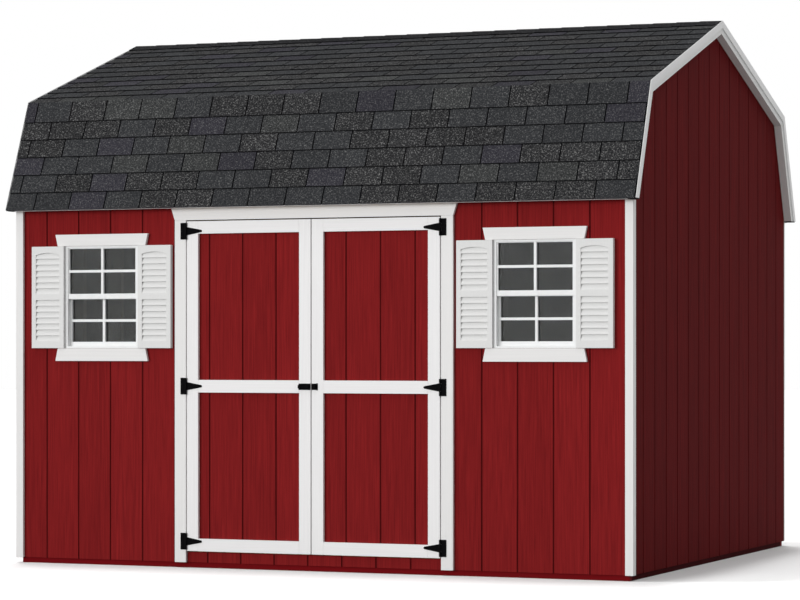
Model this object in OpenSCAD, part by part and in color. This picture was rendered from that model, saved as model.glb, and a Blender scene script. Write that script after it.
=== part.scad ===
// Barn shed with a gambrel roof, double doors in the long wall and two shuttered windows.
// Millimetres. X runs along the ridge, the doors face -Y, Z is up from the ground.
// The origin is on the ground, under the middle of the building.

/* [Building] */
// Length of the building over the siding
wall_length = 3672; // [3600:2:4000]
// Depth of the building over the siding
wall_depth = 3048; // [2900:2:3200]
// Height of the lower edge of the siding above the ground
siding_bottom = 30; // [20:1:40]
// Height of the upper edge of the siding on the long walls
siding_top = 2140; // [2110:1:2142]
// Thickness of the siding panels
siding_t = 11; // [9:1:14]
// Spacing of the siding grooves
groove_pitch = 204; // [150:1:306]
// Width of a siding groove
groove_w = 9; // [6:0.5:12]
// Depth of a siding groove
groove_d = 4; // [2:0.5:6]

/* [Framing] */
// Thickness of the framing lumber
lumber_t = 38; // [34:1:40]
// Width of the framing lumber
lumber_w = 89; // [84:1:94]
// Thickness of the floor deck
floor_deck_t = 16; // [12:1:18]
// Top of the wall plates above the ground
plate_top = 2057; // [2045:1:2070]
// Number of roof trusses
truss_count = 7; // [5:1:9]
// Thickness of the truss gussets
gusset_t = 11; // [9:1:16]

/* [Roof] */
// Horizontal overhang of the eaves
eave_overhang = 78; // [70:1:100]
// Height of the shingle edge at the eaves
eave_z = 2013; // [2005:1:2020]
// Distance of the roof's knee inside the wall face
knee_inset = 181; // [160:1:200]
// Height of the roof's knee
knee_z = 2647; // [2600:1:2700]
// Height of the ridge on the shingles
ridge_z = 3099; // [3000:1:3200]
// Thickness of the roof deck
roof_deck_t = 11; // [9:1:16]
// Thickness of the shingles
shingle_t = 6; // [4:0.5:9]
// Thickness of the rake boards
rake_t = 46; // [38:1:50]
// Width of the rake boards
rake_w = 64; // [55:1:75]
// Width of the flashing strip on the rake boards
rake_strip_w = 31; // [20:1:40]
// Thickness of the flashing strip on the rake boards
rake_strip_t = 5; // [4:1:12]

/* [Doors] */
// Width of the doorway between its casings
doorway_w = 1534; // [1400:2:1560]
// Lower edge of the door leaves
door_bottom = 94; // [92:1:98]
// Upper edge of the door leaves
door_top = 1935; // [1900:1:1936]
// Gap round the door leaves
door_gap = 6; // [5:0.5:8]
// Width of the trim boards on the doors and casings
trim_w = 70; // [65:1:85]
// Thickness of the trim boards
trim_t = 19; // [16:1:20]
// Height of the hinge barrels
hinge_h = 93; // [80:1:110]
// Length of the hinge straps from the hinge axis
strap_l = 97; // [85:1:140]

/* [Windows] */
// Distance of each window's centre from the middle of the building
window_x = 1302; // [1298:1:1308]
// Height of the window's lower edge
window_bottom = 1227; // [1200:1:1240]
// Width of the window's flange
window_w = 472; // [460:1:480]
// Height of the window's flange
window_h = 578; // [560:1:600]
// Width of a shutter
shutter_w = 206; // [190:1:208]
// Thickness of a shutter
shutter_t = 28; // [22:1:30]
// Louvres in each half of a shutter
louvre_count = 7; // [5:1:9]

/* [Hidden] */
$fn = 48;
red = "#7b1c1e";
white = "#e6e6e4";
pine = "#c9a36b";
charcoal = "#3a3a3c";
black = "#161616";

// Wall faces
half_l = wall_length / 2;
half_d = wall_depth / 2;
frame_x = half_l - siding_t;
frame_y = half_d - siding_t;
touch_gap = 1;
first_groove = -half_l + 176;
right_panel_groove = half_l - 840;
first_side_groove = -half_d + 207;
floor_top = lumber_w + floor_deck_t;
stud_foot = floor_top + lumber_t;
stud_head = plate_top - lumber_t;
truss_x = [for (i = [0:truss_count - 1])
    (2 * i / (truss_count - 1) - 1) * (frame_x - lumber_t / 2)];

// Roof profile in the Y and Z plane, front half, measured inwards from the shingle surface
eave = [-half_d - eave_overhang, eave_z];
knee = [-half_d + knee_inset, knee_z];
lower_angle = atan2(knee.y - eave.y, knee.x - eave.x);
upper_angle = atan2(ridge_z - knee.y, -knee.x);
lower_run = [cos(lower_angle), sin(lower_angle)];
upper_run = [cos(upper_angle), sin(upper_angle)];
lower_normal = [sin(lower_angle), -cos(lower_angle)];
upper_normal = [sin(upper_angle), -cos(upper_angle)];
knee_mitre = (lower_normal + upper_normal) / (1 + lower_normal * upper_normal);
deck_top = shingle_t;
deck_under = shingle_t + roof_deck_t;
rafter_under = deck_under + lumber_w;
ridge_gap = 1;
seat_gap = 0.2;
rafter_top = deck_under + seat_gap;
drip_t = 3;
shingle_x = half_l + rake_t + rake_strip_t;
rake_foot_z = eave_z + 1;

function eave_at(depth, along = 0) = eave + depth * lower_normal + along * lower_run;
function knee_at(depth) = knee + depth * knee_mitre;
function upper_at(depth, y) = [y, ridge_z - depth / cos(upper_angle) - abs(y) * tan(upper_angle)];
function lower_at_y(depth, y) = [y, eave_at(depth).y + (y - eave_at(depth).x) * tan(lower_angle)];
function lower_at_z(depth, z) = [eave_at(depth).x + (z - eave_at(depth).y) / tan(lower_angle), z];

// Doors: the axis of each leaf runs up the gap beside it, in front of the boards
door_face = -half_d - trim_t;
hinge_x = doorway_w / 2 - door_gap / 2;
hinge_standoff = 6;
hinge_y = door_face - hinge_standoff;
leaf_outer = doorway_w / 2 - door_gap;
leaf_inner = door_gap / 2;
left_leaf_groove = -628;
right_leaf_groove = -610;
leaf_back_inset = 8;
leaf_back_bottom = floor_top + 7;
leaf_back_top = door_top - leaf_back_inset;
hinge_plate_t = 3;
knuckle_r = 5.5;
pin_r = 3;
pin_clearance = 0.05;
strap_root_h = 46;
mid_rail_z = (door_bottom + door_top) / 2;
hinge_z = [door_bottom + 54, mid_rail_z, door_top - 55];
header_bottom = door_top + door_gap;
beam_bottom = header_bottom + 4;

// Windows: the upper sash is near the wall face, the lower one slides behind it
window_z = window_bottom + window_h / 2;
flange_t = 12;
sleeve_w = window_w - 20;
sleeve_h = window_h - 8;
rough_gap = 12;
sash_w = window_w - 36;
sash_top = window_h / 2 - 10;
sash_t = 14;
glass_t = 4;
upper_sash_z = -11;
lower_sash_top = 14;
upper_sash_y = -half_d - 6;
lower_sash_y = upper_sash_y + sash_t + glass_t + 2;
shutter_back = 6;

// Slide bolt on the meeting stiles
latch_z = mid_rail_z;
latch_plate_h = 35;
latch_plate_t = 2.5;
bolt_r = 5;
latch_edge = leaf_inner + 0.5;
latch_reach = 75;
bolt_y = door_face - latch_plate_t - 6;
bolt_clearance = 0.1;
keeper_clearance = 0.6;

// A block between two opposite corners
module block(from, to) {
    translate(from)
        cube(to - from);
}

// Sweeps an outline in Y and Z along X
module along_x(x0, x1) {
    translate([x0, 0, 0])
        rotate([90, 0, 90])
            linear_extrude(x1 - x0)
                children();
}

// Sweeps an outline in X and Z back from the plane at y, over a depth
module along_y(y, depth) {
    translate([0, y + depth, 0])
        rotate([90, 0, 0])
            linear_extrude(depth)
                children();
}

module front_and_back() {
    children();
    mirror([0, 1, 0])
        children();
}

module both_ends() {
    children();
    mirror([1, 0, 0])
        children();
}

// Vertical grooves on the outer face of the front siding plane, on one grid along the wall
module front_grooves(first, last, x_start) {
    for (x = [x_start:groove_pitch:last])
        if (x > first)
            block([x - groove_w / 2, -half_d - 1, 0], [x + groove_w / 2, -half_d + groove_d, siding_top + 1]);
}

module front_panel(x0, x1, z0, z1, groove = first_groove) {
    difference() {
        block([x0, -half_d, z0], [x1, -half_d + siding_t, z1]);
        front_grooves(x0 + groove_w, x1 - groove_w, groove);
    }
}

// Floor

module floor_rims() {
    color(red)
        front_and_back()
            block([-frame_x, -frame_y, 0], [frame_x, -frame_y + lumber_t, lumber_w]);
}

module floor_joists() {
    joist_count = 10;
    span = frame_x - lumber_t / 2;
    color(pine)
        for (i = [0:joist_count - 1])
            translate([(2 * i / (joist_count - 1) - 1) * span, 0, 0])
                block([-lumber_t / 2, -frame_y + lumber_t, 0], [lumber_t / 2, frame_y - lumber_t, lumber_w]);
}

module floor_deck() {
    doorway_setback = 8;
    color(pine)
        block([-frame_x, -frame_y + doorway_setback, lumber_w], [frame_x, frame_y, floor_top]);
}

// Walls

module window_hole(x) {
    hole_gap = 2;
    block([x - sleeve_w / 2 - hole_gap, -half_d - 1, window_z - sleeve_h / 2 - hole_gap],
        [x + sleeve_w / 2 + hole_gap, -frame_y + 1, window_z + sleeve_h / 2 + hole_gap]);
}

module front_siding_left() {
    color(red)
        difference() {
            front_panel(-half_l, -doorway_w / 2, siding_bottom, siding_top);
            window_hole(-window_x);
        }
}

module front_siding_right() {
    color(red)
        difference() {
            front_panel(doorway_w / 2, half_l, siding_bottom, siding_top, right_panel_groove);
            window_hole(window_x);
        }
}

module front_siding_middle() {
    color(red) {
        front_panel(-doorway_w / 2, doorway_w / 2, header_bottom, siding_top);
        front_panel(-doorway_w / 2, doorway_w / 2, siding_bottom, door_bottom - door_gap);
    }
}

module back_siding() {
    color(red)
        mirror([0, 1, 0])
            front_panel(-half_l, half_l, siding_bottom, siding_top);
}

// Gable wall at +X, up to the roof deck
module gable_siding() {
    difference() {
        along_x(frame_x, half_l)
            polygon([
                [-frame_y, siding_bottom],
                [frame_y, siding_bottom],
                [frame_y, lower_at_y(rafter_top, -frame_y).y],
                [-knee_at(rafter_top).x, knee_at(rafter_top).y],
                upper_at(rafter_top, 0),
                knee_at(rafter_top),
                lower_at_y(rafter_top, -frame_y)
            ]);
        for (y = [first_side_groove:groove_pitch:frame_y - groove_w])
            block([half_l - groove_d, y - groove_w / 2, 0], [half_l + 1, y + groove_w / 2, ridge_z]);
    }
}

module right_siding() {
    color(red)
        gable_siding();
}

module left_siding() {
    color(red)
        mirror([1, 0, 0])
            gable_siding();
}

// Wall framing

module long_wall_plates() {
    inner = -frame_y + lumber_w;
    color(pine)
        front_and_back() {
            block([-frame_x, -frame_y, stud_head], [frame_x, inner, plate_top]);
            both_ends()
                block([doorway_w / 2 + door_gap, -frame_y, floor_top], [frame_x, inner, stud_foot]);
        }
    color(pine)
        block([-doorway_w / 2, frame_y - lumber_w, floor_top], [doorway_w / 2, frame_y, stud_foot]);
}

module gable_wall_plates() {
    end_y = frame_y - lumber_w;
    color(pine)
        both_ends()
            for (z = [floor_top, stud_head])
                block([frame_x - lumber_w, -end_y, z], [frame_x, end_y, z + lumber_t]);
}

module wall_studs() {
    long_stud_y = -frame_y;
    trimmer_x = doorway_w / 2 + door_gap + lumber_t / 2;
    window_jamb = sleeve_w / 2 + rough_gap + lumber_t / 2;
    gable_end = frame_y - lumber_w - touch_gap - lumber_t / 2;
    gable_count = 7;
    gable_stud_y = 457;
    front_x = [trimmer_x + lumber_t + touch_gap, window_x - window_jamb, window_x + window_jamb,
        frame_x - lumber_t / 2];
    color(pine) {
        both_ends() {
            for (x = front_x)
                block([x - lumber_t / 2, long_stud_y, stud_foot],
                    [x + lumber_t / 2, long_stud_y + lumber_w, stud_head]);
            block([trimmer_x - lumber_t / 2, long_stud_y, stud_foot],
                [trimmer_x + lumber_t / 2, long_stud_y + lumber_w, beam_bottom]);
            for (i = [0:gable_count - 1])
                translate([0, (2 * i / (gable_count - 1) - 1) * gable_end, 0])
                    block([frame_x - lumber_w, -lumber_t / 2, stud_foot], [frame_x, lumber_t / 2, stud_head]);
            for (side = [-1, 1])
                gable_stud(side * gable_stud_y);
        }
        for (x = truss_x)
            block([x - lumber_t / 2, frame_y - lumber_w, stud_foot], [x + lumber_t / 2, frame_y, stud_head]);
    }
}

// Stud between the gable's top plate and its rafters, laid flat against the siding
module gable_stud(y) {
    y0 = y - lumber_w / 2;
    y1 = y + lumber_w / 2;
    head = rafter_under + seat_gap;
    along_x(frame_x - lumber_t, frame_x)
        polygon([[y0, plate_top], [y1, plate_top], upper_at(head, y1), upper_at(head, y0)]);
}

module opening_headers() {
    beam_end = doorway_w / 2 + door_gap + lumber_t;
    rough_half = sleeve_w / 2 + rough_gap;
    color(pine) {
        block([-beam_end, -frame_y, beam_bottom], [beam_end, -frame_y + lumber_w, stud_head]);
        both_ends()
            for (z = [window_z - sleeve_h / 2 - rough_gap - lumber_t, window_z + sleeve_h / 2 + rough_gap])
                block([window_x - rough_half, -frame_y, z],
                    [window_x + rough_half, -frame_y + lumber_w, z + lumber_t]);
    }
}

// Roof trusses

module at_each_truss() {
    for (x = truss_x)
        translate([x, 0, 0])
            children();
}

module lower_rafters() {
    color(pine)
        at_each_truss()
            front_and_back()
                along_x(-lumber_t / 2, lumber_t / 2)
                    polygon([
                        [-frame_y, plate_top],
                        lower_at_z(rafter_under, plate_top),
                        knee_at(rafter_under),
                        knee_at(rafter_top),
                        lower_at_y(rafter_top, -frame_y)
                    ]);
}

module upper_rafters() {
    color(pine)
        at_each_truss()
            front_and_back()
                along_x(-lumber_t / 2, lumber_t / 2)
                    polygon([
                        knee_at(rafter_under),
                        upper_at(rafter_under, -ridge_gap),
                        upper_at(rafter_top, -ridge_gap),
                        knee_at(rafter_top)
                    ]);
}

// Plywood plates over the truss joints, on the side that faces the middle of the building
module truss_gussets() {
    arm = 230;
    edge = 3;
    top = deck_under + edge;
    plate_w = lumber_w - 2 * edge;
    knee_low = knee_at(top) - arm * lower_run;
    knee_high = knee_at(top) + arm * upper_run;
    color(pine)
        for (x = truss_x)
            translate([x > 0 ? x - lumber_t / 2 - gusset_t : x + lumber_t / 2, 0, 0]) {
                front_and_back()
                    along_x(0, gusset_t)
                        polygon([
                            knee_low,
                            knee_low + plate_w * lower_normal,
                            knee_high + plate_w * upper_normal,
                            knee_high,
                            knee_at(top)
                        ]);
                along_x(0, gusset_t)
                    polygon([
                        upper_at(top, -arm),
                        upper_at(top + plate_w, -arm),
                        upper_at(top + plate_w, arm),
                        upper_at(top, arm),
                        upper_at(top, 0)
                    ]);
            }
}

// Roof covering

module lower_slope(depth0, depth1, along = 0) {
    polygon([eave_at(depth0, along), eave_at(depth1, along), knee_at(depth1), knee_at(depth0)]);
}

module upper_slope(depth0, depth1) {
    polygon([knee_at(depth0), knee_at(depth1), upper_at(depth1, -ridge_gap), upper_at(depth0, -ridge_gap)]);
}

module lower_roof_deck() {
    color(pine)
        front_and_back()
            along_x(-half_l, half_l)
                lower_slope(deck_top, deck_under, drip_t + seat_gap);
}

module upper_roof_deck() {
    color(pine)
        front_and_back()
            along_x(-half_l, half_l)
                upper_slope(deck_top, deck_under);
}

module lower_shingles() {
    color(charcoal)
        front_and_back()
            along_x(-shingle_x, shingle_x)
                lower_slope(0, shingle_t);
}

module upper_shingles() {
    color(charcoal)
        front_and_back()
            along_x(-shingle_x, shingle_x)
                upper_slope(0, shingle_t);
}

module ridge_cap() {
    cap_w = 150;
    cap_t = 5;
    under = -seat_gap;
    top = under - cap_t;
    color(charcoal)
        along_x(-shingle_x, shingle_x)
            polygon([
                upper_at(top, -cap_w), upper_at(under, -cap_w), upper_at(under, 0),
                upper_at(under, cap_w), upper_at(top, cap_w), upper_at(top, 0)
            ]);
}

// A board along the rakes of one gable half: a lower and an upper length, mitred at the knee
module rake_lengths(x0, x1, depth0, depth1) {
    mitre_gap = 0.6;
    along_x(x0, x1) {
        polygon([
            lower_at_z(depth0, rake_foot_z), lower_at_z(depth1, rake_foot_z),
            knee_at(depth1), knee_at(depth0)
        ]);
        polygon([
            knee_at(depth0) + mitre_gap * upper_run, knee_at(depth1) + mitre_gap * upper_run,
            upper_at(depth1, -ridge_gap / 2), upper_at(depth0, -ridge_gap / 2)
        ]);
    }
}

module rake_boards() {
    color(white)
        both_ends()
            front_and_back()
                rake_lengths(half_l, half_l + rake_t, deck_top + seat_gap, deck_top + rake_w);
}

// Metal strips along the upper edges of the rake boards, with a thin lip that covers the shingle ends
module rake_flashing() {
    board_face = half_l + rake_t;
    lip_t = 2;
    lip_rise = 3;
    strip_foot = deck_top + rake_strip_w;
    color(white)
        both_ends()
            front_and_back() {
                rake_lengths(board_face, shingle_x, deck_top + seat_gap, strip_foot);
                rake_lengths(shingle_x, shingle_x + lip_t, -lip_rise, strip_foot);
            }
}

// Dark plates that close the lower ends of the rake boards
module rake_foot_plates() {
    plate_t = 6;
    setback = 12;
    foot_front = lower_at_z(deck_top, rake_foot_z).x;
    foot_back = lower_at_z(deck_top + rake_w, rake_foot_z).x;
    color(black)
        both_ends()
            front_and_back()
                block([half_l, foot_front + setback, rake_foot_z - plate_t],
                    [half_l + rake_t, foot_back, rake_foot_z]);
}

module eave_drip_edges() {
    drip_w = 18;
    color(white)
        front_and_back()
            along_x(-half_l, half_l)
                polygon([
                    eave_at(deck_top), eave_at(drip_w), eave_at(drip_w, drip_t), eave_at(deck_top, drip_t)
                ]);
}

// Outside trim

// The front corners are boxed on both walls, the back ones have a flat board on the long wall
module corner_trim() {
    leg = 46;
    trim_top = rake_foot_z - 7;
    front_top = trim_top + 80;
    edge = half_l + trim_t - 1;
    face = -half_d - trim_t + 1;
    color(white)
        both_ends() {
            block([edge - leg, face, siding_bottom], [edge, -half_d, trim_top]);
            block([half_l, face, siding_bottom], [edge, face + leg, trim_top]);
            block([edge - leg, face, siding_bottom], [half_l, -half_d, front_top]);
            block([half_l - leg, half_d, siding_bottom], [half_l, -face, front_top]);
        }
}

module door_casings() {
    color(white)
        both_ends()
            block([doorway_w / 2, door_face, siding_bottom],
                [doorway_w / 2 + trim_w, -half_d, header_bottom]);
}

// Flared board over an opening or, turned over, under it
module flared_board(width, flare, height) {
    polygon([
        [-width / 2, 0], [width / 2, 0], [width / 2 + flare, height], [-width / 2 - flare, height]
    ]);
}

module door_header_trim() {
    color(white)
        along_y(door_face, trim_t)
            translate([0, header_bottom])
                flared_board(doorway_w + 2 * trim_w, flare = 27, height = 86);
}

// Door leaves, drawn for the left leaf, whose hinges are at -X

module leaf_panel(first) {
    difference() {
        block([-leaf_outer, -half_d, door_bottom], [-leaf_inner, -frame_y, door_top]);
        front_grooves(-leaf_outer, -leaf_inner, first);
    }
}

// Boards on the outer face, and shorter ones on the inner face that clear the floor and the frame
module leaf_stiles() {
    back_face = -frame_y + trim_t;
    for (x = [-leaf_outer, -leaf_inner - trim_w])
        block([x, door_face, door_bottom], [x + trim_w, -half_d, door_top]);
    block([-leaf_outer + leaf_back_inset, -frame_y, leaf_back_bottom],
        [-leaf_outer + trim_w, back_face, leaf_back_top]);
    block([-leaf_inner - trim_w, -frame_y, leaf_back_bottom],
        [-leaf_inner - leaf_back_inset, back_face, leaf_back_top]);
}

module leaf_rails() {
    x0 = -leaf_outer + trim_w;
    x1 = -leaf_inner - trim_w;
    front_z = [door_bottom, mid_rail_z - trim_w / 2, door_top - trim_w];
    back_z = [leaf_back_bottom, mid_rail_z - trim_w / 2, leaf_back_top - trim_w];
    for (z = front_z)
        block([x0, door_face, z], [x1, -half_d, z + trim_w]);
    for (z = back_z)
        block([x0, -frame_y, z], [x1, -frame_y + trim_t, z + trim_w]);
}

// Tapered strap with the middle knuckle, bored to turn on the pin
module leaf_hinge_straps() {
    tip_r = 7;
    root = 6;
    play = 0.5;
    leaf_y = hinge_standoff - hinge_plate_t;
    knuckle_h = strap_root_h - 2 * play;
    for (z = hinge_z)
        translate([-hinge_x, hinge_y, z])
            difference() {
                union() {
                    along_y(leaf_y, hinge_plate_t) {
                        polygon([
                            [root, -knuckle_h / 2], [strap_l - tip_r, -tip_r],
                            [strap_l - tip_r, tip_r], [root, knuckle_h / 2]
                        ]);
                        translate([strap_l - tip_r, 0])
                            circle(tip_r);
                    }
                    block([0, leaf_y, -knuckle_h / 2], [root + 1, knuckle_r, knuckle_h / 2]);
                    cylinder(h = knuckle_h, r = knuckle_r, center = true);
                }
                cylinder(h = knuckle_h + 2, r = pin_r + pin_clearance, center = true);
            }
}

module left_door_panel() {
    color(red)
        leaf_panel(left_leaf_groove);
}

module left_door_stiles() {
    color(white)
        leaf_stiles();
}

module left_door_rails() {
    color(white)
        leaf_rails();
}

module left_hinge_straps() {
    color(black)
        leaf_hinge_straps();
}

module right_door_panel() {
    color(red)
        mirror([1, 0, 0])
            leaf_panel(right_leaf_groove);
}

module right_door_stiles() {
    color(white)
        mirror([1, 0, 0])
            leaf_stiles();
}

module right_door_rails() {
    color(white)
        mirror([1, 0, 0])
            leaf_rails();
}

module right_hinge_straps() {
    color(black)
        mirror([1, 0, 0])
            leaf_hinge_straps();
}

// Plates on the casings, each with its two outer knuckles and the pin
module hinge_plates() {
    plate_w = 29;
    edge = 6;
    leaf_y = hinge_standoff - hinge_plate_t;
    knuckle_h = (hinge_h - strap_root_h) / 2;
    color(black)
        both_ends()
            for (z = hinge_z)
                translate([-hinge_x, hinge_y, z]) {
                    block([-edge - plate_w, leaf_y, -hinge_h / 2], [-edge, hinge_standoff, hinge_h / 2]);
                    for (base = [-hinge_h / 2, strap_root_h / 2])
                        translate([0, 0, base]) {
                            cylinder(h = knuckle_h, r = knuckle_r);
                            block([-edge - 1, leaf_y, 0], [0, knuckle_r, knuckle_h]);
                        }
                    cylinder(h = hinge_h, r = pin_r, center = true);
                }
}

// Slide bolt: plate with two guides on the left leaf, bolt, and keeper on the right leaf

module bolt_guide(x0, x1, bore_r) {
    guide_h = 18;
    difference() {
        block([x0, bolt_y - bolt_r - 4, latch_z - guide_h / 2],
            [x1, door_face - latch_plate_t, latch_z + guide_h / 2]);
        translate([x0 - 1, bolt_y, latch_z])
            rotate([0, 90, 0])
                cylinder(h = x1 - x0 + 2, r = bore_r);
    }
}

module latch_base(x0, x1, height) {
    block([x0, door_face - latch_plate_t, latch_z - height / 2],
        [x1, door_face, latch_z + height / 2]);
}

module latch_plate() {
    color(black) {
        latch_base(-latch_reach, -latch_edge, latch_plate_h);
        bolt_guide(x0 = -73, x1 = -63, bore_r = bolt_r + bolt_clearance);
        bolt_guide(x0 = -19, x1 = -8, bore_r = bolt_r + bolt_clearance);
    }
}

module latch_bolt() {
    bolt_l = 69;
    knob_x = -56;
    knob_r = 3.5;
    knob_l = 16;
    color(black) {
        translate([-latch_reach, bolt_y, latch_z])
            rotate([0, 90, 0])
                cylinder(h = bolt_l, r = bolt_r);
        translate([knob_x, bolt_y, latch_z])
            rotate([90, 0, 0])
                cylinder(h = knob_l, r = knob_r);
    }
}

// The keeper's outer end is widened for its screws
module latch_keeper() {
    keeper_end = 41;
    wide_end = 33;
    wide_h = latch_plate_h + 4;
    color(black) {
        latch_base(latch_edge, keeper_end, latch_plate_h);
        latch_base(wide_end, keeper_end, wide_h);
        bolt_guide(x0 = 12, x1 = 30, bore_r = bolt_r + keeper_clearance);
    }
}

// Windows, drawn at +X about the middle of the flange

module at_window(y, depth) {
    along_y(y, depth)
        translate([window_x, window_z])
            children();
}

// Flange on the siding, and a sleeve through the wall that the sashes sit in
module window_frames() {
    sleeve_depth = 36;
    color(white)
        both_ends()
            difference() {
                union() {
                    at_window(-half_d - flange_t, flange_t)
                        square([window_w, window_h], center = true);
                    at_window(-half_d, sleeve_depth)
                        square([sleeve_w, sleeve_h], center = true);
                }
                at_window(-half_d - flange_t - 1, flange_t + sleeve_depth + 2)
                    square([sash_w, 2 * sash_top], center = true);
            }
}

// A sash with four lights, its lower edge at the origin
module sash(h, stile, bottom_rail, top_rail) {
    bar_w = 15;
    light_w = (sash_w - 2 * stile - bar_w) / 2;
    light_h = (h - bottom_rail - top_rail - bar_w) / 2;
    difference() {
        translate([-sash_w / 2, 0])
            square([sash_w, h]);
        for (x = [-light_w - bar_w / 2, bar_w / 2])
            for (z = [bottom_rail, bottom_rail + light_h + bar_w])
                translate([x, z])
                    square([light_w, light_h]);
    }
}

module window_sashes() {
    color(white)
        both_ends() {
            at_window(upper_sash_y, sash_t)
                translate([0, upper_sash_z])
                    sash(sash_top - upper_sash_z, stile = 7, bottom_rail = 30, top_rail = 5);
            at_window(lower_sash_y, sash_t)
                translate([0, -sash_top])
                    sash(sash_top + lower_sash_top, stile = 14, bottom_rail = 26, top_rail = 27);
        }
}

// A sheet against the inner face of each sash
module window_glass() {
    edge = 2;
    sheet_w = sash_w - 2 * edge;
    color("#4b4b4b")
        both_ends() {
            at_window(upper_sash_y + sash_t, glass_t)
                translate([-sheet_w / 2, upper_sash_z + edge])
                    square([sheet_w, sash_top - upper_sash_z - 2 * edge]);
            at_window(lower_sash_y + sash_t, glass_t)
                translate([-sheet_w / 2, -sash_top + edge])
                    square([sheet_w, sash_top + lower_sash_top - 2 * edge]);
        }
}

module window_trim() {
    head_w = 560;
    head_h = 66;
    sill_h = 72;
    flare = 15;
    color(white)
        both_ends() {
            along_y(door_face, trim_t)
                translate([window_x, window_bottom + window_h + 1])
                    flared_board(head_w, flare, head_h);
            along_y(door_face, trim_t)
                translate([window_x, window_bottom - 1])
                    mirror([0, 1])
                        flared_board(head_w, flare, sill_h);
        }
}

// One slat leans back from its lower lip, which is almost flush with the shutter's face
module louvre(pitch) {
    lip_front = shutter_t - 1;
    lip_h = 3;
    top_front = shutter_t - 13;
    polygon([
        [-shutter_back, 0], [-lip_front, 0], [-lip_front, lip_h], [-top_front, pitch], [-shutter_back, pitch]
    ]);
}

// The upper panel of a shutter ends in a flat arch, the lower one is square
module louvre_panel(w, h, arch_rise) {
    arch_r = (pow(w / 2, 2) + pow(arch_rise, 2)) / (2 * arch_rise);
    intersection() {
        square([w, h]);
        translate([w / 2, h - arch_r])
            circle(arch_r, $fn = 96);
    }
}

// Louvred shutter, its lower corner at the origin and its back on the wall
module shutter() {
    stile = 26;
    bottom_rail = 38;
    mid_rail = 32;
    top_rail = 36;
    arch_rise = 12;
    panel_w = shutter_w - 2 * stile;
    panel_h = (window_h - bottom_rail - mid_rail - top_rail) / 2;
    upper_z = bottom_rail + panel_h + mid_rail;
    pitch = panel_h / louvre_count;
    difference() {
        block([0, -shutter_t, 0], [shutter_w, 0, window_h]);
        along_y(-shutter_t - 1, shutter_t + 1 - shutter_back) {
            translate([stile, bottom_rail])
                square([panel_w, panel_h]);
            translate([stile, upper_z])
                louvre_panel(panel_w, panel_h, arch_rise);
        }
    }
    for (i = [0:louvre_count - 1])
        along_x(stile, stile + panel_w)
            translate([0, bottom_rail + i * pitch])
                louvre(pitch);
    intersection() {
        for (i = [0:louvre_count - 1])
            along_x(stile, stile + panel_w)
                translate([0, upper_z + i * pitch])
                    louvre(pitch);
        along_y(-shutter_t, shutter_t)
            translate([stile, upper_z])
                louvre_panel(panel_w, panel_h, arch_rise);
    }
}

module shutters() {
    color(white)
        both_ends()
            for (x = [window_x - window_w / 2 - shutter_w - touch_gap, window_x + window_w / 2 + touch_gap])
                translate([x, -half_d, window_bottom])
                    shutter();
}

floor_rims();
floor_joists();
floor_deck();
front_siding_left();
front_siding_right();
front_siding_middle();
back_siding();
left_siding();
right_siding();
long_wall_plates();
gable_wall_plates();
wall_studs();
opening_headers();
lower_rafters();
upper_rafters();
truss_gussets();
lower_roof_deck();
upper_roof_deck();
lower_shingles();
upper_shingles();
ridge_cap();
rake_boards();
rake_flashing();
rake_foot_plates();
eave_drip_edges();
corner_trim();
door_casings();
door_header_trim();
left_door_panel();
left_door_stiles();
left_door_rails();
left_hinge_straps();
right_door_panel();
right_door_stiles();
right_door_rails();
right_hinge_straps();
hinge_plates();
latch_plate();
latch_bolt();
latch_keeper();
window_frames();
window_sashes();
window_glass();
window_trim();
shutters();
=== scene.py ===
import math
import random

import bmesh
import bpy
from mathutils import Matrix, Vector


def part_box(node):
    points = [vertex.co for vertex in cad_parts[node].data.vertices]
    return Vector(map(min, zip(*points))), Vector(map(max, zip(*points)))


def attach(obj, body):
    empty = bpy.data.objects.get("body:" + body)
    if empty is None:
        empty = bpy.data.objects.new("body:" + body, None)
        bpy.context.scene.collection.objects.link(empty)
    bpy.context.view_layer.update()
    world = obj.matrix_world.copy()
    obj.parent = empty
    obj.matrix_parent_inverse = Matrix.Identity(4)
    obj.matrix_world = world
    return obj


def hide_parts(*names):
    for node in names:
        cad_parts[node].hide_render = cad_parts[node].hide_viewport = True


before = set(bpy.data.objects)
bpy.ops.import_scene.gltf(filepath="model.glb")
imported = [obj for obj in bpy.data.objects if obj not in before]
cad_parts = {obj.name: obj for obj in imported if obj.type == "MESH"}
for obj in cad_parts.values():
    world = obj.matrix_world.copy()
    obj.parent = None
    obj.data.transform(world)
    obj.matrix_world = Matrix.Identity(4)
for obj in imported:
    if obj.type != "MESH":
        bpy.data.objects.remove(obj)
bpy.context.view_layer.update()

# Floor frame
# Two long rims and a row of joists, treated pine sawn to 38 x 89 mm and nailed together.
# The low band of the frame that shows under the siding has the siding's red paint on it.
MM = 0.001
RIM_REDS = ("#640d12", "#7c1318")
RIM_STREAK = (400 * MM, 400 * MM, 14 * MM)
LUMBER_EDGE = 2 * MM
WELD_REACH = 0.01 * MM
SHARP_ANGLE = math.radians(35)


def linear(hex_colour):
    """Linear RGBA of an sRGB hex colour."""
    channels = [int(hex_colour[i:i + 2], 16) / 255 for i in (1, 3, 5)]
    return [c / 12.92 if c <= 0.04045 else ((c + 0.055) / 1.055) ** 2.4 for c in channels] + [1.0]


def start_material(name):
    """A new material with an empty node tree."""
    material = bpy.data.materials.new(name)
    material.use_nodes = True
    material.node_tree.nodes.clear()
    return material


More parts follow.
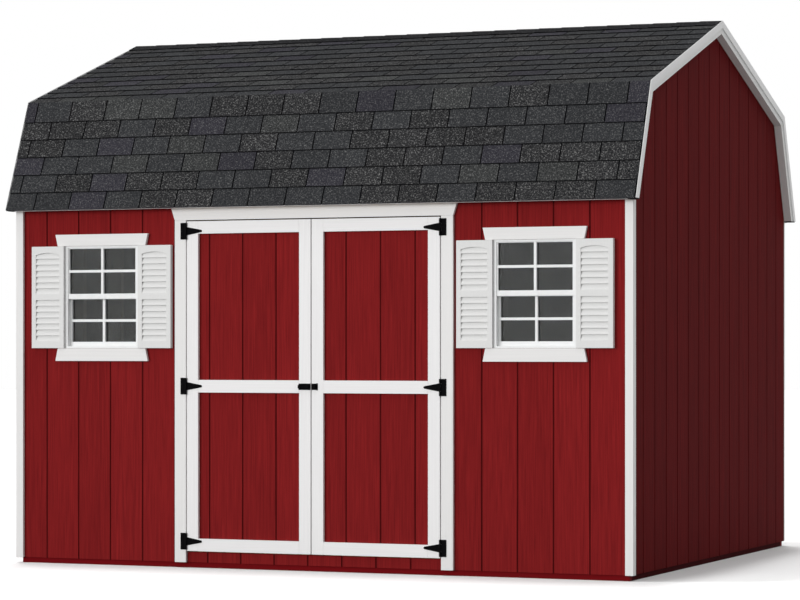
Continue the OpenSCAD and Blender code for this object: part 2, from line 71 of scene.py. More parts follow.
def add(material, kind, inputs=None, **settings):
    """One new node. An input is a value or another node's output, a setting is the node's own property."""
    node = material.node_tree.nodes.new("ShaderNode" + kind)
    for name, value in settings.items():
        setattr(node, name, value)
    for name, value in (inputs or {}).items():
        if isinstance(value, bpy.types.NodeSocket):
            material.node_tree.links.new(value, node.inputs[name])
        else:
            node.inputs[name].default_value = value
    return node


def dress(names, material, edge=None):
    """Give CAD nodes a material, and edges eased by the width edge if tools or paint soften them."""
    for name in names:
        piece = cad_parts[name]
        piece.data.materials.clear()
        piece.data.materials.append(material)
        if edge is None:
            continue
        weld = piece.modifiers.new("joined corners", "WELD")
        weld.merge_threshold = WELD_REACH
        bevel = piece.modifiers.new("eased edges", "BEVEL")
        bevel.width = edge
        bevel.segments = 2
        bevel.limit_method = "ANGLE"
        bevel.angle_limit = SHARP_ANGLE
        bevel.harden_normals = True


def mottled(name, size, tones, roughness, sheen, relief=None, detail=2.0):
    """A finish whose two tones follow a noise of the given size, and its relief too, as (strength, depth)."""
    finish = start_material(name)
    place = add(finish, "TexCoord").outputs["Object"]
    cells = add(finish, "Mapping", {"Vector": place, "Scale": size}, vector_type="TEXTURE").outputs[0]
    noise = add(finish, "TexNoise", {"Vector": cells, "Scale": 1.0, "Detail": detail}).outputs[0]
    colour = add(finish, "Mix", {0: noise, 6: linear(tones[0]), 7: linear(tones[1])}, data_type="RGBA")
    surface = {"Base Color": colour.outputs[2], "Roughness": roughness, "Specular IOR Level": sheen}
    if relief is not None:
        bump = add(finish, "Bump", {"Height": noise, "Strength": relief[0], "Distance": relief[1]})
        surface["Normal"] = bump.outputs[0]
    shader = add(finish, "BsdfPrincipled", surface)
    add(finish, "OutputMaterial", {"Surface": shader.outputs[0]})
    return finish


# Brushed exterior paint on rough pine: dull, with darker streaks along the board.
rim_paint = mottled("red paint on treated pine", RIM_STREAK, RIM_REDS, roughness=0.65, sheen=0.04,
                    relief=(0.3, 1 * MM), detail=3.0)
dress(["floor_rims"], rim_paint, LUMBER_EDGE)

PINE_EARLY = "#d9bd90"
PINE_LATE = "#b98f5c"
PINE_KNOT = "#7a5233"
TREATED_EARLY = "#b9a878"
TREATED_LATE = "#93814f"
# The joist ends' red is darker than the rims': red paint with painted shade under the siding's lower edge.
SHADED_END_PAINT = "#3d0b0e"
END_PAINT_DEPTH = 5 * MM
BARE_SHEEN = 0.25
PAINTED_SHEEN = 0.02
RING_GAP = 6 * MM
RING_RUN = 700 * MM
KNOT_GAP = (420 * MM, 70 * MM, 70 * MM)
ALONG_X = (0, 0, 0)
ALONG_Y = (0, 0, math.radians(90))
ALONG_Z = (0, math.radians(-90), 0)


def sawn_pine(name, grain, early, late, mirrored=False, painted_ends=None):
    """Sawn softwood: pale early wood, tan late-wood lines about 6 mm apart, a knot here and there.

    Mirrored grain follows both slopes of the roof. Ends further out than painted_ends have red paint darkened
    by painted shade.
    """
    pine = start_material(name)
    at = add(pine, "TexCoord").outputs["Object"]
    if mirrored:
        at = add(pine, "VectorMath", {0: at}, operation="ABSOLUTE").outputs[0]
    lines = add(pine, "Mapping", {"Vector": at, "Rotation": grain,
                                  "Scale": (RING_RUN, RING_GAP, RING_GAP)}, vector_type="TEXTURE")
    lines = add(pine, "TexNoise", {"Vector": lines.outputs[0], "Scale": 1.0, "Detail": 3.0})
    wood = add(pine, "Mix", {0: lines.outputs[0], 6: linear(late), 7: linear(early)},
               data_type="RGBA")
    knots = add(pine, "Mapping", {"Vector": at, "Rotation": grain, "Scale": KNOT_GAP},
                vector_type="TEXTURE")
    knots = add(pine, "TexVoronoi", {"Vector": knots.outputs[0], "Scale": 1.0})
    knots = add(pine, "MapRange", {0: knots.outputs["Distance"], 1: 0.10, 2: 0.17, 3: 1.0, 4: 0.0})
    wood = add(pine, "Mix", {0: knots.outputs[0], 6: wood.outputs[2], 7: linear(PINE_KNOT)},
               data_type="RGBA")
    if painted_ends is not None:
        end = add(pine, "SeparateXYZ", {0: at}).outputs[0]
        end = add(pine, "Math", {0: end}, operation="ABSOLUTE").outputs[0]
        end = add(pine, "Math", {0: end, 1: painted_ends}, operation="GREATER_THAN").outputs[0]
        wood = add(pine, "Mix", {0: end, 6: wood.outputs[2], 7: linear(SHADED_END_PAINT)}, data_type="RGBA")
    relief = add(pine, "Bump", {"Height": lines.outputs[0], "Strength": 0.35, "Distance": 1 * MM})
    sheen = BARE_SHEEN if painted_ends is None else PAINTED_SHEEN
    surface = add(pine, "BsdfPrincipled", {
        "Base Color": wood.outputs[2], "Roughness": 0.75, "Specular IOR Level": sheen,
        "Normal": relief.outputs[0]})
    add(pine, "OutputMaterial", {"Surface": surface.outputs[0]})
    return pine


frame_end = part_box("floor_joists")[1].x - END_PAINT_DEPTH
joist_pine = sawn_pine("treated pine joists", ALONG_Y, TREATED_EARLY, TREATED_LATE, painted_ends=frame_end)
dress(["floor_joists"], joist_pine, LUMBER_EDGE)

# Floor deck
# Strand board sheets, 16 mm thick, pressed from pine strands and nailed to the joists.
# They are bare, and show through the open doors.
SHEET_EDGE = 1 * MM
STRAND = (95 * MM, 22 * MM, 22 * MM)
STRAND_COLOURS = ("#c8a772", "#a27c4c", "#ddc294")
STRAND_TURNS = (0.35, 1.4, 2.5)


def strand_board(name):
    """Pressed wood strands about 95 x 22 mm that lie every way: a patchwork of tan and straw."""
    board = start_material(name)
    at = add(board, "TexCoord").outputs["Object"]
    shade = linear(STRAND_COLOURS[0])
    for turn, hue in zip(STRAND_TURNS, STRAND_COLOURS):
        lay = add(board, "Mapping", {"Vector": at, "Rotation": (0, 0, turn), "Scale": STRAND},
                  vector_type="TEXTURE")
        chip = add(board, "TexVoronoi", {"Vector": lay.outputs[0], "Scale": 1.0})
        red = add(board, "SeparateColor", {0: chip.outputs["Color"]}).outputs[0]
        shows = add(board, "MapRange", {0: red, 1: 0.35, 2: 0.6})
        shade = add(board, "Mix", {0: shows.outputs[0], 6: shade, 7: linear(hue)},
                    data_type="RGBA").outputs[2]
    relief = add(board, "Bump", {"Height": red, "Strength": 0.3, "Distance": 0.6 * MM})
    surface = add(board, "BsdfPrincipled", {
        "Base Color": shade, "Roughness": 0.7, "Specular IOR Level": 0.25,
        "Normal": relief.outputs[0]})
    add(board, "OutputMaterial", {"Surface": surface.outputs[0]})
    return board


deck_board = strand_board("oriented strand board")
dress(["floor_deck"], deck_board, SHEET_EDGE)

# Wall frame
# Studs, plates and headers of dry pine, nailed to the floor and to each other.
# Nothing covers them inside, so they show through the doors and windows.
dress(["wall_studs"], sawn_pine("pine studs", ALONG_Z, PINE_EARLY, PINE_LATE), LUMBER_EDGE)
dress(["long_wall_plates", "opening_headers"],
      sawn_pine("pine plates", ALONG_X, PINE_EARLY, PINE_LATE), LUMBER_EDGE)
dress(["gable_wall_plates"], sawn_pine("pine gable plates", ALONG_Y, PINE_EARLY, PINE_LATE), LUMBER_EDGE)

# Siding
# Pressed wood panels, 11 mm thick and nailed to the studs, with a groove every 204 mm that
# makes them read as boards. Barn red paint outside, bare brown board inside.
GROOVE_PITCH = 204 * MM
GROOVE_DEPTH = 4 * MM
LEFT_GROOVE_INSET = 176 * MM
RIGHT_GROOVE_INSET = 840 * MM
GABLE_GROOVE_INSET = 207 * MM
PANEL_T = 11 * MM
FRONT_RED = ("#6c181a", "#882122")
# The gables' red is a darker copy of the front's red: painted shade.
SHADED_GABLE_RED = ("#4c0f11", "#691718")
FRONT_SHEEN = 0.04
GABLE_SHEEN = 0.024
GROOVE_SHADE = 0.45
BARE_BOARD = "#8f7350"
GRAIN_W = 6 * MM
GRAIN_L = 300 * MM
GRAIN_SHIFT = 0.13
BOARD_TONES = (0.93, 1.05)


def painted_siding(name, across, outward, face, first_groove, reds, sheen):
    """Satin barn paint over pressed grain: fine upright streaks, each board a little off in tone.

    The depth behind the face tells the grooves, darkened with painted shade, and the bare back. Each board
    has a grain of its own.
    """
    siding = start_material(name)
    at = add(siding, "TexCoord").outputs["Object"]
    axes = add(siding, "SeparateXYZ", {0: at})
    along = axes.outputs["XY".index(across)]
    reach = add(siding, "VectorMath", {0: at, 1: outward}, operation="DOT_PRODUCT").outputs["Value"]
    depth = add(siding, "Math", {0: face, 1: reach}, operation="SUBTRACT").outputs[0]
    board = add(siding, "Math", {0: along, 1: first_groove}, operation="SUBTRACT").outputs[0]
    board = add(siding, "Math", {0: board, 1: GROOVE_PITCH}, operation="DIVIDE").outputs[0]
    board = add(siding, "Math", {0: board}, operation="FLOOR").outputs[0]
    tone = add(siding, "TexWhiteNoise", {"W": board}, noise_dimensions="1D").outputs["Value"]
    tone = add(siding, "MapRange", {0: tone, 3: BOARD_TONES[0], 4: BOARD_TONES[1]}).outputs[0]
    fibre = add(siding, "CombineXYZ", {0: along, 1: axes.outputs[2], 2: board})
    fibre = add(siding, "Mapping", {"Vector": fibre.outputs[0],
                                    "Scale": (GRAIN_W, GRAIN_L, GRAIN_SHIFT)}, vector_type="TEXTURE")
    grain = add(siding, "TexNoise", {"Vector": fibre.outputs[0], "Scale": 1.0, "Detail": 4.0,
                                     "Roughness": 0.6, "Distortion": 0.4}).outputs[0]
    streak = add(siding, "MapRange", {0: grain, 1: 0.3, 2: 0.7}).outputs[0]
    red = add(siding, "Mix", {0: streak, 6: linear(reds[0]), 7: linear(reds[1])}, data_type="RGBA")
    # Painted shade in the grooves.
    in_groove = add(siding, "MapRange", {0: depth, 1: 0.3 * GROOVE_DEPTH, 2: 0.9 * GROOVE_DEPTH,
                                         3: 1.0, 4: GROOVE_SHADE}).outputs[0]
    tone = add(siding, "Math", {0: tone, 1: in_groove}, operation="MULTIPLY").outputs[0]
    red = add(siding, "VectorMath", {0: red.outputs[2], "Scale": tone}, operation="SCALE")
    inside = add(siding, "Math", {0: depth, 1: PANEL_T - 1 * MM}, operation="GREATER_THAN").outputs[0]
    colour = add(siding, "Mix", {0: inside, 6: red.outputs[0], 7: linear(BARE_BOARD)},
                 data_type="RGBA")
    relief = add(siding, "Bump", {"Height": grain, "Strength": 0.35, "Distance": 0.7 * MM})
    surface = add(siding, "BsdfPrincipled", {
        "Base Color": colour.outputs[2], "Roughness": 0.75, "Specular IOR Level": sheen,
        "Normal": relief.outputs[0]})
    add(siding, "OutputMaterial", {"Surface": surface.outputs[0]})
    return siding


long_face = -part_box("front_siding_left")[0].y
gable_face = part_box("right_siding")[1].x
first_front_groove = -gable_face + LEFT_GROOVE_INSET
right_panel_groove = gable_face - RIGHT_GROOVE_INSET
first_gable_groove = -long_face + GABLE_GROOVE_INSET
long_paint = (long_face, FRONT_RED, FRONT_SHEEN)
shaded_gable_paint = (gable_face, SHADED_GABLE_RED, GABLE_SHEEN)
panels = (
    (["front_siding_left", "front_siding_middle"], "X", (0, -1, 0), first_front_groove, long_paint),
    (["front_siding_right"], "X", (0, -1, 0), right_panel_groove, long_paint),
    (["back_siding"], "X", (0, 1, 0), first_front_groove, long_paint),
    (["right_siding"], "Y", (1, 0, 0), first_gable_groove, shaded_gable_paint),
    (["left_siding"], "Y", (-1, 0, 0), first_gable_groove, shaded_gable_paint),
)
for names, across, outward, groove, (face, reds, sheen) in panels:
    paint = painted_siding("red paint on " + names[0], across, outward, face, groove, reds, sheen)
    dress(names, paint, SHEET_EDGE)

# Roof trusses
# Each truss is two steep lower rafters and two shallow upper ones, sawn from pine and joined
# at the knees and the ridge by strand board gussets, which are nailed to the face that looks
# towards the middle of the shed.
EAVE_CUT = 2.3 * MM

roof_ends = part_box("lower_shingles")[1].x
eave_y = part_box("lower_shingles")[1].y
# The shingle sheet ends square to its slope, so its outer corner at the eave lies above its lowest point.
eave_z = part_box("lower_shingles")[0].z + EAVE_CUT
knee_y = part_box("upper_shingles")[1].y
knee_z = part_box("lower_shingles")[1].z
ridge_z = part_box("upper_shingles")[1].z
lower_pitch = math.atan2(knee_z - eave_z, eave_y - knee_y)
upper_pitch = math.atan2(ridge_z - knee_z, knee_y)
for rafters, pitch in (("lower_rafters", lower_pitch), ("upper_rafters", upper_pitch)):
    grain = (0, pitch, math.radians(90))
    rafter_pine = sawn_pine("pine " + rafters, grain, PINE_EARLY, PINE_LATE, mirrored=True)
    dress([rafters], rafter_pine, LUMBER_EDGE)
dress(["truss_gussets"], deck_board, SHEET_EDGE)

# Roof deck
# Strand board sheets of the same kind as the floor's, nailed over the trusses.
# Inside, their bare underside is the ceiling.
dress(["lower_roof_deck", "upper_roof_deck"], deck_board, SHEET_EDGE)

# Shingles
# Three-tab asphalt strips, nailed in courses that lap like scales and break joint by half a tab.
# Each tab is a thick slab whose butt lies on the course below and whose head thins out under the
# next one, over black roofing felt, whose black in the slots between tabs is painted shade.
BUTT_T = 6 * MM
BUTT_RISE = 2 * MM
HEADLAP = 10 * MM
TAB_PITCH = 224.1 * MM
SLOT_W = 7 * MM
END_GAP = 4 * MM
FIRST_SLOT = -24 * MM
LOWER_BUTTS = [butt * MM for butt in (-3, 109, 221, 333, 445, 557)]
UPPER_FIRST_EXPOSURE = 107 * MM
UPPER_EXPOSURE = 125 * MM
SHORTEST_COURSE = 40 * MM
TAB_EDGE = 0.5 * MM
FELT_DEPTH = 5.8 * MM
FELT_T = 0.2 * MM
FELT_INSET = 2 * MM
FELT_MOTTLE = (9 * MM, 9 * MM, 9 * MM)
FELT_AND_SLOT_SHADE_BLACKS = ("#080809", "#141416")
BLEND_COLOURS = ("#333436", "#313132", "#343339", "#3a3b3b", "#1e1e20")
BLEND_SPECKLE = (0.57, 0.93, 0.52, 0.72, 0.35)
BLEND_SHARES = (40, 38, 14, 8, 0)
BLEND_TONES = (0.88, 1.12)
TONE_SPAN = (0.02, 0.98)
GRANULE_DARK = "#101012"
GRANULE_PALE = "#8e8e8d"
GRANULE = 7 * MM
BUTT_SHADOW = 5 * MM
BUTT_SHADE = "#0d0d0e"
OUT_OF_REACH = 1000 * MM
# Granules lie on the tops, and rims and undersides are black asphalt.
TOP_SLOT = 0
RIM_SLOT = 1
draw = random.Random(1210)

# Crushed slate pressed into asphalt: matt charcoal, each tab from one of four blends and the ridge caps
# from a darker fifth. The ramp's alpha holds how much a blend is speckled.
# Real granules are near 1.5 mm: they are drawn 7 mm wide so that they show at this distance.
granules = start_material("slate granules on asphalt")
blend = add(granules, "Attribute", attribute_name="blend").outputs["Fac"]
tab_colour = add(granules, "ValToRGB", {"Fac": blend})
tab_colour.color_ramp.interpolation = "CONSTANT"
stops = tab_colour.color_ramp.elements
for index, hex_colour in enumerate(BLEND_COLOURS):
    start = index / len(BLEND_COLOURS)
    # A ramp comes with its first two stops.
    stop = stops[index] if index < 2 else stops.new(start)
    stop.position = start
    stop.color = linear(hex_colour)[:3] + [BLEND_SPECKLE[index]]
tone = add(granules, "Math", {0: blend, 1: len(BLEND_COLOURS)}, operation="MULTIPLY").outputs[0]
tone = add(granules, "Math", {0: tone}, operation="FRACT").outputs[0]
tone = add(granules, "MapRange", {0: tone, 3: BLEND_TONES[0], 4: BLEND_TONES[1]}).outputs[0]
place = add(granules, "TexCoord").outputs["Object"]
grit = add(granules, "TexNoise", {"Vector": place, "Scale": 1 / GRANULE, "Detail": 2.0}).outputs[0]
speckle = tab_colour.outputs["Alpha"]
dark = add(granules, "MapRange", {0: grit, 1: 0.34, 2: 0.5, 3: 0.8, 4: 0.0}).outputs[0]
dark = add(granules, "Math", {0: dark, 1: speckle}, operation="MULTIPLY").outputs[0]
pale = add(granules, "MapRange", {0: grit, 1: 0.55, 2: 0.72, 3: 0.0, 4: 0.7}).outputs[0]
pale = add(granules, "Math", {0: pale, 1: speckle}, operation="MULTIPLY").outputs[0]
colour = add(granules, "Mix", {0: dark, 6: tab_colour.outputs[0], 7: linear(GRANULE_DARK)},
             data_type="RGBA").outputs[2]
colour = add(granules, "Mix", {0: pale, 6: colour, 7: linear(GRANULE_PALE)}, data_type="RGBA").outputs[2]
colour = add(granules, "VectorMath", {0: colour, "Scale": tone}, operation="SCALE").outputs[0]
below_butt = add(granules, "UVMap", uv_map="tab").outputs[0]
below_butt = add(granules, "SeparateXYZ", {0: below_butt}).outputs[1]
shadow = add(granules, "MapRange", {0: below_butt, 1: 0.6 * BUTT_SHADOW, 2: BUTT_SHADOW, 3: 0.85, 4: 0.0})
colour = add(granules, "Mix", {0: shadow.outputs[0], 6: colour, 7: linear(BUTT_SHADE)},
             data_type="RGBA").outputs[2]
bump = add(granules, "Bump", {"Height": grit, "Strength": 0.6, "Distance": 1.2 * MM})
shader = add(granules, "BsdfPrincipled", {
    "Base Color": colour, "Roughness": 0.95, "Specular IOR Level": 0.03, "Normal": bump.outputs[0]})
add(granules, "OutputMaterial", {"Surface": shader.outputs[0]})

# Asphalt-soaked felt: black and dull. Its fibres, near 1 mm, are drawn as a mottle 9 mm wide that shows.
# Its black, where it shows in the slots between tabs, is painted shade.
felt_and_slot_shade = mottled("asphalt felt", FELT_MOTTLE, FELT_AND_SLOT_SHADE_BLACKS, roughness=0.9, sheen=0.03, detail=3.0)


def draw_blend():
    """A tab's blend, drawn by its share: the whole part picks the colour, the rest the tab's tone."""
    blend_index = draw.choices(range(len(BLEND_COLOURS)), BLEND_SHARES)[0]
    return (blend_index + draw.uniform(*TONE_SPAN)) / len(BLEND_COLOURS)


def slope_frame(side, start_y, start_z, pitch):
    """Matrix with x along the eave, y up the slope and z out of it; side is -1 in front, 1 behind."""
    along = Vector((-side, 0, 0))
    up = Vector((0, -side * math.cos(pitch), math.sin(pitch)))
    slope = Matrix((along, up, along.cross(up))).transposed().to_4x4()
    slope.translation = (0, side * start_y, start_z)
    return slope


def lay_tab(bm, slope, x0, x1, butt, exposure, meets_knee):
    """One tab from x0 to x1. A tab that ends or starts at the knee is flush with the roof there.

    Its own coordinates tell how far a point lies below the next butt. No butt lies over one that ends there.
    """
    ends_at_knee = meets_knee and butt > 0
    starts_at_knee = meets_knee and not ends_at_knee
    length = exposure if ends_at_knee else exposure + HEADLAP
    butt_top = 0 if starts_at_knee else BUTT_RISE
    head_top = 0 if ends_at_knee else HEADLAP / length * BUTT_RISE - BUTT_T + BUTT_RISE
    heights = {(0, 1): butt_top, (0, 0): BUTT_RISE - BUTT_T, (1, 1): head_top, (1, 0): -FELT_DEPTH}
    size = Matrix.Diagonal((x1 - x0, length, 1, 1))
    middle = Matrix.Translation(((x0 + x1) / 2, butt + length / 2, 0))
    corners = bmesh.ops.create_cube(bm, size=1, matrix=middle @ size)["verts"]
    blend_layer = bm.faces.layers.float["blend"]
    tab_layer = bm.loops.layers.uv["tab"]
    tab_blend = draw_blend()
    next_butt = butt + (OUT_OF_REACH if ends_at_knee else exposure)
    for face in {face for corner in corners for face in corner.link_faces}:
        face[blend_layer] = tab_blend
        face.material_index = TOP_SLOT if face.normal.z > 0.5 else RIM_SLOT
        for loop in face.loops:
            loop[tab_layer].uv = (loop.vert.co.x, next_butt - loop.vert.co.y)
    for corner in corners:
        corner.co.z = heights[corner.co.y > butt + length / 2, corner.co.z > 0]
    bmesh.ops.transform(bm, matrix=slope, verts=corners)


def lay_course(bm, slope, butt, exposure, odd, meets_knee=False):
    """One course from rake to rake, with a slot beside every tab."""
    last = roof_ends - END_GAP
    left = -last
    tab = math.floor((-last - FIRST_SLOT) / TAB_PITCH)
    half = TAB_PITCH / 2 if odd else 0
    while left < last:
        tab += 1
        slot = FIRST_SLOT - half + tab * TAB_PITCH
        right = min(slot - SLOT_W / 2, last)
        if right > left:
            lay_tab(bm, slope, left, right, butt, exposure, meets_knee)
        left = max(left, slot + SLOT_W / 2)


def shingle_mesh():
    """An empty bmesh that carries each tab's blend and its own coordinates."""
    bm = bmesh.new()
    bm.faces.layers.float.new("blend")
    bm.loops.layers.uv.new("tab")
    return bm


def finish_roofing(bm, name, node):
    """Ease the tabs' edges, and put the roofing in place of its CAD node."""
    bmesh.ops.bevel(bm, geom=bm.edges[:], offset=TAB_EDGE, segments=1, profile=0.5,
                    affect="EDGES", material=-1)
    mesh = bpy.data.meshes.new(name)
    bm.to_mesh(mesh)
    bm.free()
    piece = bpy.data.objects.new(name, mesh)
    bpy.context.collection.objects.link(piece)
    mesh.materials.append(granules)
    mesh.materials.append(felt_and_slot_shade)
    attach(piece, "shed")
    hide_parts(node)


def lay_slot_shade_felt(bm, slope, length):
    """The felt sheet under the tabs of one slope, down to the roof deck. Its black in the slots is painted
    shade.
    """
    size = Matrix.Diagonal((2 * (roof_ends - FELT_INSET), length, FELT_T, 1))
    middle = Matrix.Translation((0, length / 2, -FELT_DEPTH))
    sheet = bmesh.ops.create_cube(bm, size=1, matrix=slope @ middle @ size)
    for face in {face for vert in sheet["verts"] for face in vert.link_faces}:
        face.material_index = RIM_SLOT


lower_length = math.hypot(eave_y - knee_y, knee_z - eave_z)
upper_length = math.hypot(knee_y, ridge_z - knee_z)
lower_roof = shingle_mesh()
upper_roof = shingle_mesh()
for side in (-1, 1):
    lower_slope = slope_frame(side, eave_y, eave_z, lower_pitch)
    lay_slot_shade_felt(lower_roof, lower_slope, lower_length - FELT_INSET)
    for course, (butt, next_butt) in enumerate(zip(LOWER_BUTTS, LOWER_BUTTS[1:] + [lower_length])):
        lay_course(lower_roof, lower_slope, butt, next_butt - butt, odd=course % 2 == 0,
                   meets_knee=butt == LOWER_BUTTS[-1])
    upper_slope = slope_frame(side, knee_y, knee_z, upper_pitch)
    lay_slot_shade_felt(upper_roof, upper_slope, upper_length - FELT_INSET)
    butt = 0
    course = len(LOWER_BUTTS)
    while butt < upper_length - SHORTEST_COURSE:
        exposure = UPPER_EXPOSURE if butt else UPPER_FIRST_EXPOSURE
        exposure = min(exposure, upper_length - butt - HEADLAP)
        lay_course(upper_roof, upper_slope, butt, exposure, odd=course % 2 == 0, meets_knee=butt == 0)
        butt += exposure
        course += 1
finish_roofing(lower_roof, "lower_slope_shingles", "lower_shingles")
finish_roofing(upper_roof, "upper_slope_shingles", "upper_shingles")

# Ridge cap
# Single tabs cut from asphalt strips, folded over the ridge and nailed one over the next along it.
# They are of a darker blend than the slopes.
CAP_T = 2.7 * MM
CAP_EXPOSURE = 140 * MM
CAP_LAP = 8 * MM
CAP_REACH = 96 * MM

caps = shingle_mesh()
cap_x = -roof_ends
while cap_x < roof_ends - 1 * MM:
    cap_end = min(cap_x + CAP_EXPOSURE + CAP_LAP, roof_ends)
    profile = [caps.verts.new((cap_x, y, ridge_z + 2 * CAP_T - abs(y) * math.tan(upper_pitch)))
               for y in (-CAP_REACH, 0, CAP_REACH)]
    fold = [caps.edges.new(profile[:2]), caps.edges.new(profile[1:])]
    grown = bmesh.ops.extrude_edge_only(caps, edges=fold)["geom"]
    far = [item for item in grown if isinstance(item, bmesh.types.BMVert)]
    bmesh.ops.translate(caps, verts=far, vec=(cap_end - cap_x, 0, -CAP_T))
    sheet = [item for item in grown if isinstance(item, bmesh.types.BMFace)]
    bmesh.ops.recalc_face_normals(caps, faces=sheet)
    cap_blend = (len(BLEND_COLOURS) - draw.uniform(*TONE_SPAN)) / len(BLEND_COLOURS)
    for face in sheet:
        if face.normal.z < 0:
            face.normal_flip()
        face[caps.faces.layers.float["blend"]] = cap_blend
        for loop in face.loops:
            to_next = cap_x + CAP_EXPOSURE - loop.vert.co.x
            loop[caps.loops.layers.uv["tab"]].uv = (loop.vert.co.y, to_next)
    bmesh.ops.solidify(caps, geom=sheet, thickness=2 * CAP_T)
    cap_x += CAP_EXPOSURE
for face in caps.faces:
    face.material_index = TOP_SLOT if face.normal.z > 0.5 else RIM_SLOT
finish_roofing(caps, "ridge_cap_shingles", "ridge_cap")

# Rake boards
# White painted boards along the gable ends of the roof, with a bent strip of white sheet metal
# over their upper edge and small dark plates nailed under their feet.
# The rake boards get a lighter white than the other trim: painted light.
LIT_RAKE_WHITES = ("#ededec", "#f7f7f6")
BRUSH_W = 5 * MM
BRUSH_L = 350 * MM


def white_paint(name, grain, whites, bare_from=None):
    """Brushed white trim paint on smooth pine: faint brush lines along the board, soft gloss.

    Real brush lines are near 1 mm: they are drawn 5 mm wide to show. From bare_from inwards, a board is bare.
    """
    paint = start_material(name)
    at = add(paint, "TexCoord").outputs["Object"]
    lines = add(paint, "Mapping", {"Vector": at, "Rotation": grain, "Scale": (BRUSH_L, BRUSH_W, BRUSH_W)},
                vector_type="TEXTURE")
    lines = add(paint, "TexNoise", {"Vector": lines.outputs[0], "Scale": 1.0, "Detail": 3.0}).outputs[0]
    white = add(paint, "Mix", {0: lines, 6: linear(whites[0]), 7: linear(whites[1])},
                data_type="RGBA").outputs[2]
    if bare_from is not None:
        depth = add(paint, "SeparateXYZ", {0: at}).outputs[1]
        bare = add(paint, "Math", {0: depth, 1: bare_from}, operation="GREATER_THAN").outputs[0]
        wood = add(paint, "Mix", {0: lines, 6: linear(PINE_LATE), 7: linear(PINE_EARLY)}, data_type="RGBA")
        white = add(paint, "Mix", {0: bare, 6: white, 7: wood.outputs[2]}, data_type="RGBA").outputs[2]
    relief = add(paint, "Bump", {"Height": lines, "Strength": 0.15, "Distance": 0.4 * MM})
    surface = add(paint, "BsdfPrincipled", {
        "Base Color": white, "Roughness": 0.5, "Specular IOR Level": 0.3,
        "Normal": relief.outputs[0]})
    add(paint, "OutputMaterial", {"Surface": surface.outputs[0]})
    return paint


dress(["rake_boards"], white_paint("white paint on rake boards", ALONG_Y, LIT_RAKE_WHITES), LUMBER_EDGE)

# Coil-coated sheet metal: even white with an orange-peel ripple.
# Real ripples are near 3 mm: they are drawn 12 mm wide so that they show.
METAL_WHITES = ("#ececec", "#f6f6f6")
METAL_RIPPLE = (12 * MM, 12 * MM, 12 * MM)
METAL_EDGE = 0.4 * MM
sheet_metal = mottled("white coated sheet metal", METAL_RIPPLE, METAL_WHITES, roughness=0.4, sheen=0.4,
                      relief=(0.1, 0.3 * MM))
dress(["rake_flashing", "eave_drip_edges"], sheet_metal, METAL_EDGE)

# Black powder coat: near black and dull, with a fine grain.
# Real grains are near 0.5 mm: they are drawn 2.5 mm wide so that they show.
POWDER_BLACKS = ("#050506", "#0c0c0d")
POWDER_GRAIN = (2.5 * MM, 2.5 * MM, 2.5 * MM)
PLATE_EDGE = 0.5 * MM
powder_coat = mottled("black powder coat", POWDER_GRAIN, POWDER_BLACKS, roughness=0.55, sheen=0.03,
                      relief=(0.25, 0.2 * MM))
dress(["rake_foot_plates"], powder_coat, PLATE_EDGE)

# White trim boards
# Smooth pine boards, painted white and nailed over the siding: corners, door casings, the door's
# flared header, and the flared head and sill boards of the windows.
TRIM_WHITES = ("#e2e1e0", "#ecebea")
upright_white = white_paint("white paint on upright boards", ALONG_Z, TRIM_WHITES)
level_white = white_paint("white paint on level boards", ALONG_X, TRIM_WHITES)
dress(["corner_trim", "door_casings"], upright_white, LUMBER_EDGE)
dress(["door_header_trim", "window_trim"], level_white, LUMBER_EDGE)

# Windows
# White vinyl frames with a lower and an upper sash, welded at the corners and screwed in through
# their flanges. Clear float glass sits in the sashes.
VINYL_WHITES = ("#e8e9e9", "#f1f2f2")
VINYL_FLOW = (40 * MM, 40 * MM, 40 * MM)
VINYL_EDGE = 1.5 * MM

# Extruded vinyl: smooth white with a soft gloss, clouded a little by the flow of the melt.
vinyl = mottled("white window vinyl", VINYL_FLOW, VINYL_WHITES, roughness=0.35, sheen=0.35)
dress(["window_frames", "window_sashes"], vinyl, VINYL_EDGE)

# Float glass with a thin grey haze, which dims the room behind it, and a slight waviness.
HAZE = "#323232"
HAZE_SHARE = 0.55
GLASS_TINT = "#e6ebe9"
GLASS_WAVE = 180 * MM
GLASS_EDGE = 0.3 * MM
glass = start_material("clear float glass")
place = add(glass, "TexCoord").outputs["Object"]
wave = add(glass, "TexNoise", {"Vector": place, "Scale": 1 / GLASS_WAVE, "Detail": 1.0}).outputs[0]
bump = add(glass, "Bump", {"Height": wave, "Strength": 0.1, "Distance": 0.5 * MM})
clear = add(glass, "BsdfPrincipled", {
    "Base Color": linear(GLASS_TINT), "Roughness": 0.02, "IOR": 1.45, "Transmission Weight": 1.0,
    "Normal": bump.outputs[0]})
haze = add(glass, "BsdfDiffuse", {"Color": linear(HAZE)})
shader = add(glass, "MixShader", {0: HAZE_SHARE, 1: clear.outputs[0], 2: haze.outputs[0]})
add(glass, "OutputMaterial", {"Surface": shader.outputs[0]})
dress(["window_glass"], glass, GLASS_EDGE)

# Shutters
# Plastic shutters, each moulded in one piece with two louvred panels, the upper one arched.
# They are screwed to the siding beside the windows and stay open.
PLASTIC_WHITES = ("#d9d9d8", "#e2e2e1")
MOULD_GRAIN = (3 * MM, 3 * MM, 60 * MM)

# Moulded plastic: dull white, with a fine upright grain pressed in by the mould.
plastic = mottled("moulded white plastic", MOULD_GRAIN, PLASTIC_WHITES, roughness=0.5, sheen=0.3,
                  relief=(0.15, 0.3 * MM), detail=3.0)
dress(["shutters"], plastic)

# Doors
# Two leaves of the walls' grooved panel, painted like them. Pine boards screwed to both faces keep
# them flat: white ones outside, bare ones inside.
DOOR_WHITES = ("#e7e6e6", "#f3f2f2")
LEAF_GROOVES = {"left": -628 * MM, "right": 202 * MM}

